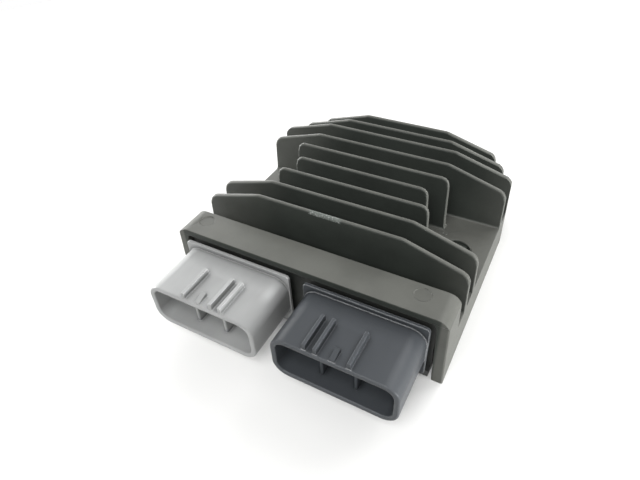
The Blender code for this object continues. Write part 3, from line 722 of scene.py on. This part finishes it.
def painted_lip_shade(finish):
    """Painted shade: 1 on the front face of the shroud's lip above the sockets and 0 elsewhere."""
    facing = finish.span(finish.axis("Y", finish.normal), *LIP_FACING)
    front = finish.span(finish.axis("Y"), *LIP_FRONT_FADE)
    across = finish.math("ABSOLUTE", finish.axis("X"))
    between_legs = finish.span(across, *LIP_SIDE_FADE)
    return finish.math("MULTIPLY", finish.math("MULTIPLY", facing, front), between_legs)


def painted_recess_shade(finish):
    """Painted shade: 1 in the two bolt holes and their recesses and 0 elsewhere, from the distance to
    their axes.
    """
    across = finish.math("SUBTRACT", finish.math("ABSOLUTE", finish.axis("X")), HOLE_X)
    back = finish.math("SUBTRACT", finish.axis("Y"), HOLE_Y)
    squares = [finish.math("MULTIPLY", side, side) for side in (across, back)]
    distance = finish.math("SQRT", finish.math("ADD", *squares))
    inside = finish.span(distance, *RECESS_SIDE_FADE)
    below = finish.span(finish.axis("Z"), *RECESS_TOP_FADE)
    return finish.math("MULTIPLY", inside, below)


def scuff_share(finish):
    """1 on the scuffed stretch of the front fin's tip and 0 elsewhere, with a ragged outline."""
    ragged = finish.noise(size=0.0011, detail=3.0, roughness=0.7)
    ragged = finish.math("MULTIPLY", ragged, SCUFF_RAGGEDNESS)
    share = 1.0
    for name, middle, reach in zip("XYZ", SCUFF_PLACE, SCUFF_REACH):
        offset = finish.math("ABSOLUTE", finish.math("SUBTRACT", finish.axis(name), middle))
        part = finish.math("ADD", finish.math("DIVIDE", offset, reach), ragged)
        share = finish.math("MULTIPLY", finish.span(part, *SCUFF_FADE), share)
    return share


def coating_finish(settings):
    """Satin coating on a die casting: fine grain, soft mottling, painted shade on the fins' flanks, the
    lip and the bolt recesses, patchy edge tones (partly edge wear, partly painted highlight) and one
    scuff.
    """
    finish = Finish("casting_coating")
    clouds = finish.noise(size=0.018, detail=4.0, roughness=0.6)
    mottle = finish.span(clouds, low=0.3, high=0.7)
    grain = finish.noise(settings.grain_size, roughness=0.6)
    color = finish.mix(mottle, shade(settings.coating, 0.90), shade(settings.coating, 1.10))
    # Painted shade: a darker copy of the coating in the same mottling, laid on the fins' flanks, the lip
    # and the bolt recesses
    deep = finish.mix(mottle, shade(settings.painted_shade_tone, 0.90), shade(settings.painted_shade_tone, 1.15))
    painted_shade_share = finish.math("MAXIMUM", painted_flank_shade(finish), painted_lip_shade(finish))
    painted_shade_share = finish.math("MAXIMUM", painted_shade_share, painted_recess_shade(finish))
    color = finish.mix(painted_shade_share, color, deep)
    # Edge tones in patches, partly edge wear and partly painted highlight: lighter coating on the
    # shroud's edges, and on the fins a tone between the open coating and the painted flank shade
    on_fins = finish.span(finish.axis("Y"), *FIN_FRONT_FADE)
    edge_color = finish.mix(on_fins, shade(settings.coating, 1.12), opaque(settings.fin_edge_tone))
    patchy = finish.span(finish.noise(size=0.004, detail=3.0), low=0.35, high=0.6, start=0.80)
    edge = finish.math("MULTIPLY", finish.edge_share(EDGE_TONE_REACH), patchy)
    color = finish.mix(edge, color, edge_color)
    scratches = finish.span(finish.noise(size=0.0007, roughness=0.7), low=0.48, high=0.66)
    rubbed = finish.mix(scratches, shade(settings.fin_edge_tone, 1.5), opaque(settings.bare))
    color = finish.mix(scuff_share(finish), color, rubbed)
    finish.set("Base Color", color)
    finish.set("Roughness", finish.around(grain, settings.roughness))
    finish.set("Specular IOR Level", settings.specular)
    relief = finish.bump(grain, depth=0.00003, strength=0.35)
    waves = finish.noise(size=0.0028)
    finish.set("Normal", finish.bump(waves, depth=0.00006, strength=0.25, under=relief))
    return finish.material


def plastic_finish(name, color, edge_color, shape):
    """Moulded plastic: faint flow marks, a fine texture, painted shade in the corners and a painted
    highlight on slightly glossier edges.

    The painted highlight is strong on the edges of the mouth and of the flange, and faint on those of
    the ribs."""
    settings = shape.settings
    finish = Finish(name)
    flow = finish.noise(size=0.012, detail=3.0, roughness=0.55, stretch=(1.0, 0.35, 1.0))
    flow = finish.span(flow, low=0.3, high=0.7)
    texture = finish.noise(size=0.00045, roughness=0.6)
    body = finish.mix(flow, shade(color, 0.94), shade(color, 1.06))
    # Painted shade: the plastic darkens in corners and beside the ribs
    body = finish.mix(finish.painted_crevice_shade(CREVICE_SHADE_REACH), body, shade(color, 0.35))
    past_mouth = finish.span(finish.axis("Y"), *beside(shape.mouth, MOUTH_FADE))
    above_sleeve = finish.span(finish.axis("Z"), *beside(shape.top, SLEEVE_TOP_FADE))
    flange_front = shape.mouth + settings.sleeve_length
    before_flange = finish.span(finish.axis("Y"), *beside(flange_front, FLANGE_FADE))
    on_ribs = finish.math("MULTIPLY", finish.math("MAXIMUM", past_mouth, above_sleeve), before_flange)
    # Painted highlight on the edges: the pale edge colour at the mouth and the flange, and a little
    # lighter than the plastic on the ribs
    painted_highlight = finish.mix(on_ribs, opaque(edge_color), shade(color, 1.1))
    edge = finish.edge_share(EDGE_TONE_REACH)
    finish.set("Base Color", finish.mix(edge, body, painted_highlight))
    finish.set("Specular IOR Level", settings.specular)
    gloss = finish.math("MULTIPLY", edge, -EDGE_GLOSS)
    finish.set("Roughness", finish.math("ADD", finish.around(texture, settings.roughness), gloss))
    finish.set("Normal", finish.bump(texture, depth=0.00002, strength=0.3))
    return finish.material


def tinned_finish(settings):
    """Tin plating: soft metal shine with faint rubbing marks along the blade."""
    finish = Finish("tinned_blade")
    rubbed = finish.noise(size=0.0009, detail=3.0, roughness=0.6, stretch=(1.0, 0.12, 1.0))
    tone = finish.mix(rubbed, opaque(settings.tin_dark), opaque(settings.tin_light))
    finish.set("Base Color", tone)
    finish.set("Metallic", 1.0)
    finish.set("Roughness", finish.around(rubbed, 0.32))
    finish.set("Normal", finish.bump(rubbed, depth=0.00001, strength=0.3))
    return finish.material


def resin_finish(settings):
    """Black potting resin, smooth and slightly uneven."""
    finish = Finish("potting_resin")
    wave = finish.noise(size=0.009)
    tone = finish.mix(wave, opaque(settings.resin_dark), opaque(settings.resin_light))
    finish.set("Base Color", tone)
    finish.set("Roughness", finish.around(finish.noise(size=0.004), 0.40))
    finish.set("Normal", finish.bump(wave, depth=0.0002, strength=0.2))
    return finish.material


def plain_finish(name, dark, light, size, roughness):
    """A hidden component's finish: two tones in fine noise."""
    finish = Finish(name)
    speck = finish.noise(size, detail=3.0)
    finish.set("Base Color", finish.mix(speck, opaque(dark), opaque(light)))
    finish.set("Roughness", finish.around(speck, roughness))
    finish.set("Normal", finish.bump(speck, depth=0.00002, strength=0.3))
    return finish.material


def camera_rotation(settings):
    """The camera's axes from its yaw, pitch and roll; it looks along its own -Z."""
    back = Vector((
        math.sin(settings.yaw) * math.cos(settings.pitch),
        -math.cos(settings.yaw) * math.cos(settings.pitch),
        math.sin(settings.pitch),
    ))
    right = Vector((math.cos(settings.yaw), math.sin(settings.yaw), 0.0))
    up = back.cross(right)
    across = math.cos(settings.roll) * right + math.sin(settings.roll) * up
    upright = -math.sin(settings.roll) * right + math.cos(settings.roll) * up
    return Matrix((across, upright, back)).transposed()


def make_camera(settings):
    """The scene's camera."""
    data = bpy.data.cameras.new("camera")
    data.sensor_width = SENSOR_WIDTH_MM
    data.lens = settings.focal_length
    data.clip_start = CLIP_START
    camera = bpy.data.objects.new("camera", data)
    camera.matrix_world = Matrix.Translation(settings.camera_place) @ camera_rotation(settings).to_4x4()
    bpy.context.scene.collection.objects.link(camera)
    bpy.context.scene.camera = camera


def make_lamp(name, place, width, energy):
    """A square soft lamp that faces the middle of the part."""
    data = bpy.data.lights.new(name, "AREA")
    data.size = width
    data.energy = energy
    lamp = bpy.data.objects.new(name, data)
    lamp.location = place
    aim = Vector(LAMP_AIM) - Vector(place)
    lamp.rotation_euler = aim.to_track_quat("-Z", "Y").to_euler()
    bpy.context.scene.collection.objects.link(lamp)


def seen_directly(tree):
    """1 for the camera's own rays and for reflections, and 0 for the light that surfaces pass on."""
    path = tree.nodes.new("ShaderNodeLightPath")
    either = tree.nodes.new("ShaderNodeMath")
    either.operation = "MAXIMUM"
    tree.links.new(path.outputs["Is Camera Ray"], either.inputs[0])
    tree.links.new(path.outputs["Is Glossy Ray"], either.inputs[1])
    return either.outputs["Value"]


def floor_finish(settings):
    """Pale floor that looks white to the camera and still holds the part's shadow."""
    material = bpy.data.materials.new("floor")
    material.use_nodes = True
    tree = material.node_tree
    shader = tree.nodes["Principled BSDF"]
    shader.inputs["Base Color"].default_value = opaque(settings.floor)
    shader.inputs["Roughness"].default_value = 0.9
    shader.inputs["Specular IOR Level"].default_value = 0.1
    shader.inputs["Emission Color"].default_value = WHITE
    lift = tree.nodes.new("ShaderNodeMath")
    lift.operation = "MULTIPLY"
    lift.inputs[1].default_value = settings.floor_lift
    tree.links.new(seen_directly(tree), lift.inputs[0])
    tree.links.new(lift.outputs["Value"], shader.inputs["Emission Strength"])
    return material


def make_floor(settings):
    """A round floor: rings of points whose radius grows with the square of their number."""
    rings = settings.floor_radius * np.linspace(0.0, 1.0, FLOOR_RINGS + 1)[1:] ** 2
    turns = np.linspace(0.0, 2.0 * np.pi, FLOOR_SIDES, endpoint=False)
    radius, turn = np.meshgrid(rings, turns, indexing="ij")
    level = np.full_like(radius, FLOOR_Z)
    points = np.stack([radius * np.cos(turn), radius * np.sin(turn), level], axis=-1)
    rows, columns = radius.shape
    index = np.arange(rows * columns).reshape(rows, columns)
    after = np.roll(index, -1, axis=1)
    quads = np.stack([index[:-1], index[1:], after[1:], after[:-1]], axis=-1).reshape(-1, 4)
    mesh = bpy.data.meshes.new("floor")
    mesh.from_pydata(points.reshape(-1, 3).tolist(), [], quads.tolist() + [index[0].tolist()])
    floor = new_object("floor", mesh)
    set_material(floor, floor_finish(settings))


def make_world(settings):
    """Even dim surroundings that look white to the camera and in reflections."""
    world = bpy.data.worlds.new("studio")
    bpy.context.scene.world = world
    world.use_nodes = True
    tree = world.node_tree
    dim = tree.nodes["Background"]
    dim.inputs["Color"].default_value = WHITE
    dim.inputs["Strength"].default_value = settings.surround
    white = tree.nodes.new("ShaderNodeBackground")
    white.inputs["Color"].default_value = WHITE
    white.inputs["Strength"].default_value = 1.0
    mix = tree.nodes.new("ShaderNodeMixShader")
    tree.links.new(seen_directly(tree), mix.inputs["Fac"])
    tree.links.new(dim.outputs["Background"], mix.inputs[1])
    tree.links.new(white.outputs["Background"], mix.inputs[2])
    tree.links.new(mix.outputs["Shader"], tree.nodes["World Output"].inputs["Surface"])


class REGULATOR_OT_stage(bpy.types.Operator):
    """Make the floor, the lamps and the camera"""

    bl_idname = "regulator.stage"
    bl_label = "Stage"

    def execute(self, context):
        settings = context.scene.regulator_stage
        make_world(settings)
        make_floor(settings)
        for name, (place, width) in LAMPS.items():
            make_lamp(f"{name}_lamp", place, width, getattr(settings, f"{name}_power"))
        make_camera(settings)
        context.scene.view_settings.view_transform = "Standard"
        return {"FINISHED"}


class REGULATOR_OT_casting(bpy.types.Operator):
    """Dress the heat sink casting"""

    bl_idname = "regulator.casting"
    bl_label = "Casting"

    def execute(self, context):
        settings = context.scene.regulator_casting
        casting = merged_copy("heat_sink_casting", "coated_casting")
        round_edges(casting, settings.edge_radius, settings.tip_radius)
        set_material(casting, coating_finish(settings))
        return {"FINISHED"}


class REGULATOR_OT_sockets(bpy.types.Operator):
    """Dress the two sockets"""

    bl_idname = "regulator.sockets"
    bl_label = "Sockets"

    def execute(self, context):
        settings = context.scene.regulator_sockets
        sockets = (
            ("stator", settings.light, settings.light_edge_highlight, 1.0),
            ("output", settings.dark, settings.dark_edge_highlight, -1.0),
        )
        for side, plastic, edge, key_side in sockets:
            node_name = f"{side}_socket"
            shape = SocketShape(settings, node_name, key_side)
            socket = piece_from_lofts(f"moulded_{side}_socket", shape.lofts())
            set_material(socket, plastic_finish(f"{side}_plastic", plastic, edge, shape))
            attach(socket, "root")
            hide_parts(node_name)
        return {"FINISHED"}


class REGULATOR_OT_terminals(bpy.types.Operator):
    """Dress the six blades"""

    bl_idname = "regulator.terminals"
    bl_label = "Terminals"

    def execute(self, context):
        material = tinned_finish(context.scene.regulator_inner)
        for name, node in frame["nodes"].items():
            if "_terminal_" in name:
                set_material(node, material)
        return {"FINISHED"}


class REGULATOR_OT_circuit(bpy.types.Operator):
    """Dress the board, its components and the resin"""

    bl_idname = "regulator.circuit"
    bl_label = "Circuit and resin"

    def execute(self, context):
        nodes = frame["nodes"]
        tones = context.scene.regulator_inner
        set_material(nodes["potting_resin"], resin_finish(tones))
        mask = plain_finish("board_mask", tones.mask_dark, tones.mask_light, size=0.002, roughness=0.4)
        set_material(nodes["circuit_board"], mask)
        case = plain_finish("device_case", tones.case_dark, tones.case_light, size=0.0006, roughness=0.5)
        coat = plain_finish(
            "capacitor_coat", tones.coat_dark, tones.coat_light, size=0.0008, roughness=0.45
        )
        for name, node in nodes.items():
            if name.startswith(("power_device", "control_chip", "sense_resistor")):
                set_material(node, case)
            elif name.startswith("filter_capacitor"):
                set_material(node, coat)
        return {"FINISHED"}


SETTINGS = {
    "regulator_casting": CastingSettings,
    "regulator_sockets": SocketSettings,
    "regulator_inner": InnerSettings,
    "regulator_stage": StageSettings,
}

OPERATORS = (
    REGULATOR_OT_stage,
    REGULATOR_OT_casting,
    REGULATOR_OT_sockets,
    REGULATOR_OT_terminals,
    REGULATOR_OT_circuit,
)


class REGULATOR_PT_finishes(bpy.types.Panel):
    """Lists the regulator's operators and settings"""

    bl_idname = "REGULATOR_PT_finishes"
    bl_label = "Regulator Rectifier"
    bl_space_type = "VIEW_3D"
    bl_region_type = "UI"
    bl_category = "Regulator"

    def draw(self, context):
        for operator in OPERATORS:
            self.layout.operator(operator.bl_idname)
        for group_name, group_class in SETTINGS.items():
            for name in group_class.__annotations__:
                self.layout.prop(getattr(context.scene, group_name), name)


def register():
    """Add the settings, the operators and the panel."""
    for name, group in SETTINGS.items():
        bpy.utils.register_class(group)
        setattr(bpy.types.Scene, name, PointerProperty(type=group))
    for operator in OPERATORS:
        bpy.utils.register_class(operator)
    bpy.utils.register_class(REGULATOR_PT_finishes)


def unregister():
    """Remove them again, the last one first."""
    bpy.utils.unregister_class(REGULATOR_PT_finishes)
    for operator in reversed(OPERATORS):
        bpy.utils.unregister_class(operator)
    for name, group in reversed(SETTINGS.items()):
        delattr(bpy.types.Scene, name)
        bpy.utils.unregister_class(group)


def main():
    """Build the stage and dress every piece."""
    register()
    bpy.ops.regulator.stage()
    bpy.ops.regulator.casting()
    bpy.ops.regulator.sockets()
    bpy.ops.regulator.terminals()
    bpy.ops.regulator.circuit()


if __name__ == "__main__":
    main()
